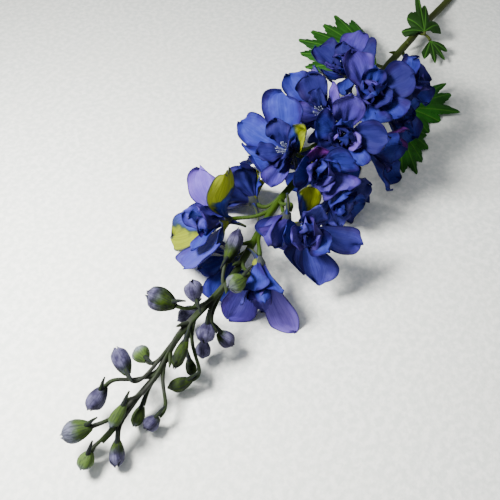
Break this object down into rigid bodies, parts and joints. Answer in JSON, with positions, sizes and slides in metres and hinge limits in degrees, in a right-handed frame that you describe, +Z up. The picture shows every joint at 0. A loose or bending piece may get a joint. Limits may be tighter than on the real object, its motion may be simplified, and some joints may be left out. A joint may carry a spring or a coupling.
{
  "type": "delphinium flower spike",
  "caption": "Cut delphinium spike lying on its side: blue-violet florets crowded on a green stem, buds towards the tip, lobed leaves near the cut end.",
  "frame": {"origin": "middle of the whole flower's box, on the surface it lies on", "axes": "+X along the stem from the youngest buds to the cut end, +Z up from the surface, +Y to the side that the first leaf spreads to"},
  "size_m": [0.571, 0.14, 0.0847],
  "materials": {
    "petal": "matt, blue-violet with lilac and yellow-green patches",
    "stamen": "matt, cream white",
    "stem": "satin, yellow-green, purplish green towards the tip",
    "bud": "matt, grey-lilac tips and green bases",
    "leaf": "satin, dark green"
  },
  "bodies": {
    "root": {"stem": "stem", "floret_01": "petal", "floret_02": "petal", "floret_03": "petal", "floret_04": "petal", "floret_05": "petal", "floret_06": "petal", "floret_07": "petal", "floret_08": "petal", "floret_09": "petal", "floret_10": "petal", "floret_11": "petal", "floret_12": "petal", "floret_13": "petal", "floret_14": "petal", "floret_15": "petal", "floret_16": "petal", "floret_17": "petal", "floret_18": "petal", "floret_19": "petal", "stamens_01": "stamen", "stamens_02": "stamen", "stamens_03": "stamen", "stamens_04": "stamen", "stamens_05": "stamen", "stamens_06": "stamen", "stamens_07": "stamen", "stamens_08": "stamen", "stamens_09": "stamen", "stamens_10": "stamen", "stamens_12": "stamen", "stamens_15": "stamen", "stamens_16": "stamen", "stamens_18": "stamen", "bud_01": "bud", "bud_02": "bud", "bud_03": "bud", "bud_04": "bud", "bud_05": "bud", "bud_06": "bud", "bud_07": "bud", "bud_08": "bud", "bud_09": "bud", "bud_10": "bud", "bud_11": "bud", "bud_12": "bud", "bud_13": "bud", "bud_14": "bud", "bud_15": "bud", "bud_16": "bud", "bud_17": "bud", "bud_18": "bud", "bud_19": "bud", "bud_20": "bud", "leaf_1": "leaf", "leaf_2": "leaf", "leaf_3": "leaf", "leaf_4": "leaf", "leaf_5": "leaf"}
  },
  "joints": []
}
